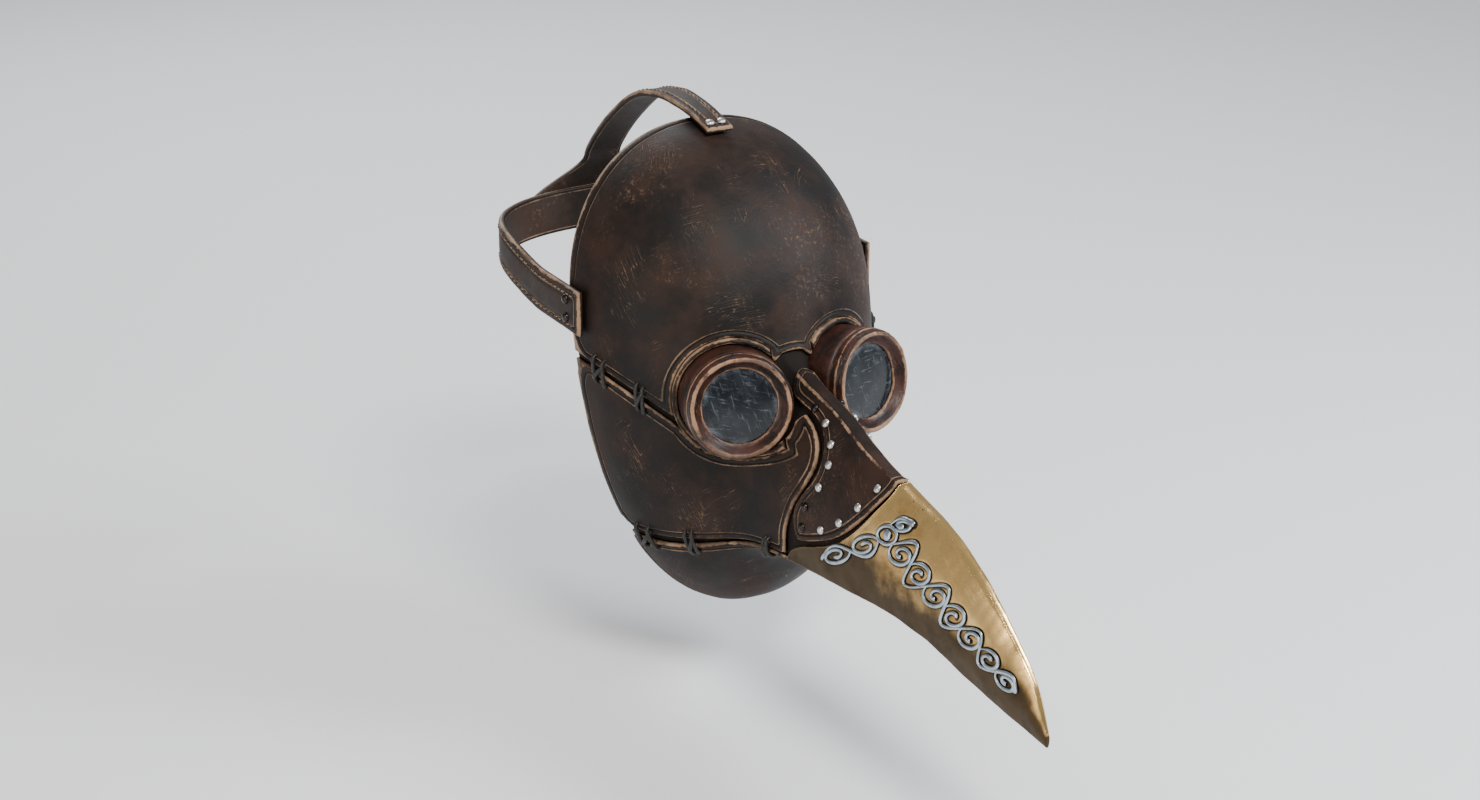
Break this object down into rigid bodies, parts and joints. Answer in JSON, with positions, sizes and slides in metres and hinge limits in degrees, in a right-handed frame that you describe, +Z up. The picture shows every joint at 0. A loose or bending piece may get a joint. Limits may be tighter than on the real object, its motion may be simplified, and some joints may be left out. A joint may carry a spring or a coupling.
{
  "type": "plague doctor mask",
  "caption": "Leather face mask with a long down-curved beak tipped in brass, round screw-in eyepieces and a strap harness.",
  "frame": {"origin": "middle of the head opening, on the plane of symmetry", "axes": "+Z up, the beak points along -Y, +X is the wearer's left"},
  "size_m": [0.166, 0.4213, 0.2431],
  "materials": {
    "leather": "waxed and scuffed",
    "lining": "plain suede side",
    "former": "stiffened, matt",
    "strap": "waxed, burnished edges",
    "bezel": "worn red-brown enamel",
    "glass": "smoked, scratched",
    "rubber": "matt",
    "brass": "polished high, dark patina low",
    "pewter": "satin pewter",
    "dark_steel": "blackened",
    "cord": "waxed lace"
  },
  "bodies": {
    "mask": {"face_lining": "lining", "beak_former": "former", "forehead_panel": "leather", "cheek_panel_right": "leather", "cheek_panel_left": "leather", "chin_panel": "leather", "beak_saddle": "leather", "beak_tip": "brass", "eye_cup_right": "bezel", "eye_collar_right": "leather", "eye_cup_left": "bezel", "eye_collar_left": "leather", "head_strap": "strap", "crown_strap": "strap", "saddle_rivet_right_1": "pewter", "saddle_rivet_right_2": "pewter", "saddle_rivet_right_3": "pewter", "saddle_rivet_right_4": "pewter", "saddle_rivet_right_5": "pewter", "saddle_rivet_right_6": "pewter", "saddle_rivet_right_7": "pewter", "saddle_rivet_right_8": "pewter", "saddle_rivet_right_9": "pewter", "saddle_rivet_right_10": "pewter", "saddle_rivet_right_11": "pewter", "saddle_rivet_left_1": "pewter", "saddle_rivet_left_2": "pewter", "saddle_rivet_left_3": "pewter", "saddle_rivet_left_4": "pewter", "saddle_rivet_left_5": "pewter", "saddle_rivet_left_6": "pewter", "saddle_rivet_left_7": "pewter", "saddle_rivet_left_8": "pewter", "saddle_rivet_left_9": "pewter", "saddle_rivet_left_10": "pewter", "saddle_rivet_left_11": "pewter", "tab_rivet_right_1": "dark_steel", "tab_rivet_right_2": "dark_steel", "tab_rivet_left_1": "dark_steel", "tab_rivet_left_2": "dark_steel", "crown_rivet_1": "pewter", "crown_rivet_2": "pewter", "lace_upper_right_1": "cord", "lace_upper_right_2": "cord", "lace_lower_right_3": "cord", "lace_lower_right_4": "cord", "lace_lower_right_5": "cord", "lace_upper_left_1": "cord", "lace_upper_left_2": "cord", "lace_lower_left_3": "cord", "lace_lower_left_4": "cord", "lace_lower_left_5": "cord"},
    "lens_carrier_right": {"eye_lens_right": "glass", "lens_gasket_right": "rubber"},
    "bezel_right": {"eye_bezel_right": "bezel"},
    "lens_carrier_left": {"eye_lens_left": "glass", "lens_gasket_left": "rubber"},
    "bezel_left": {"eye_bezel_left": "bezel"}
  },
  "joints": [
    {"name": "lens_right_slide", "type": "slide", "parent": "mask", "child": "lens_carrier_right", "axis": [-0.3224, -0.9363, 0.1392], "range_m": [0, 0.0045]},
    {"name": "bezel_right_screw", "type": "hinge", "parent": "lens_carrier_right", "child": "bezel_right", "pos_m": [-0.03659, -0.09637, -0.0224], "axis": [-0.3224, -0.9363, 0.1392], "range_deg": [0, 1080]},
    {"name": "lens_left_slide", "type": "slide", "parent": "mask", "child": "lens_carrier_left", "axis": [0.3224, -0.9363, 0.1392], "range_m": [0, 0.0045]},
    {"name": "bezel_left_screw", "type": "hinge", "parent": "lens_carrier_left", "child": "bezel_left", "pos_m": [0.03659, -0.09637, -0.0224], "axis": [0.3224, -0.9363, 0.1392], "range_deg": [0, 1080]}
  ],
  "couplings": [
    {"joint": "lens_right_slide", "follows": "bezel_right_screw", "m_per_rad": 0.00023873},
    {"joint": "lens_left_slide", "follows": "bezel_left_screw", "m_per_rad": 0.00023873}
  ]
}
